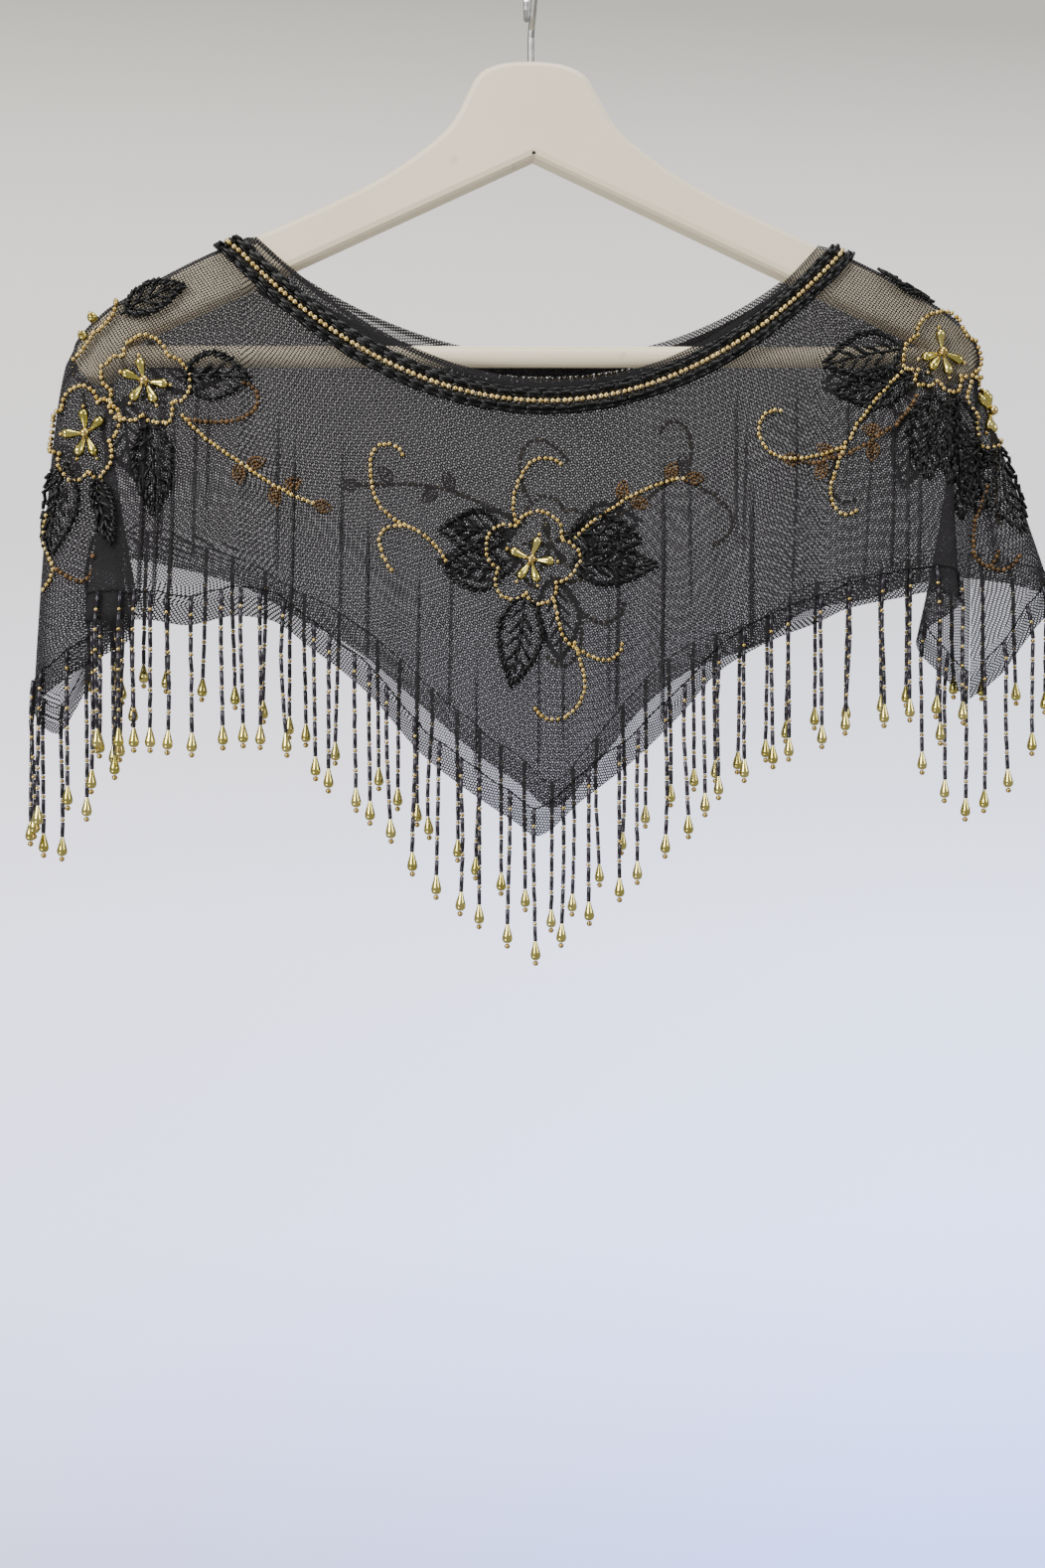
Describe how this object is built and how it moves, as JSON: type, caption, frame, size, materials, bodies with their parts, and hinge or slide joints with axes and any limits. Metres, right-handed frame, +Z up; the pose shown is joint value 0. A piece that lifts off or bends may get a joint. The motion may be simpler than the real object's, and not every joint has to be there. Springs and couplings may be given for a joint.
{
  "type": "beaded net cape on a wooden hanger",
  "caption": "Short evening cape of black net with a scoop neck, beaded flowers, leaves and vines and a long bead fringe, hung on a cream painted wooden hanger.",
  "frame": {"origin": "inner top of the hanger's hook, where a rail bears", "axes": "+Z up, +X to the viewer's right, the front of the cape faces -Y"},
  "size_m": [0.5024, 0.0467, 0.4898],
  "materials": {
    "cream_paint": "painted, satin, a little worn",
    "hook_steel": "plated wire, dull",
    "black_net": "matte hexagonal net, seen through",
    "beaded_band": "black bugle beads with one row of gold pearls",
    "black_beads": "glossy bugle beads",
    "gold_beads": "gold metallic beads"
  },
  "bodies": {
    "root": {"hanger_body": "cream_paint", "hanger_bar": "cream_paint", "hanger_hook": "hook_steel", "net_front": "black_net", "net_back": "black_net", "neck_band_front": "beaded_band", "neck_band_back": "beaded_band", "fringe_front": "black_beads", "fringe_back": "black_beads", "flower_centre_front": "gold_beads", "flower_centre_back": "gold_beads", "flower_left_front": "gold_beads", "flower_left_side": "gold_beads", "flower_left_back": "gold_beads", "flower_right_front": "gold_beads", "flower_right_side": "gold_beads", "flower_right_back": "gold_beads", "leaf_centre_front_1": "black_beads", "leaf_centre_front_2": "black_beads", "leaf_centre_front_3": "black_beads", "leaf_centre_front_4": "black_beads", "leaf_centre_front_5": "black_beads", "leaf_centre_back_1": "black_beads", "leaf_centre_back_2": "black_beads", "leaf_centre_back_3": "black_beads", "leaf_centre_back_4": "black_beads", "leaf_centre_back_5": "black_beads", "leaf_left_front_1": "black_beads", "leaf_left_front_2": "black_beads", "leaf_left_front_3": "black_beads", "leaf_left_side_1": "black_beads", "leaf_left_back_1": "black_beads", "leaf_left_back_2": "black_beads", "leaf_right_front_1": "black_beads", "leaf_right_front_2": "black_beads", "leaf_right_front_3": "black_beads", "leaf_right_side_1": "black_beads", "leaf_right_back_1": "black_beads", "leaf_right_back_2": "black_beads"}
  },
  "joints": []
}
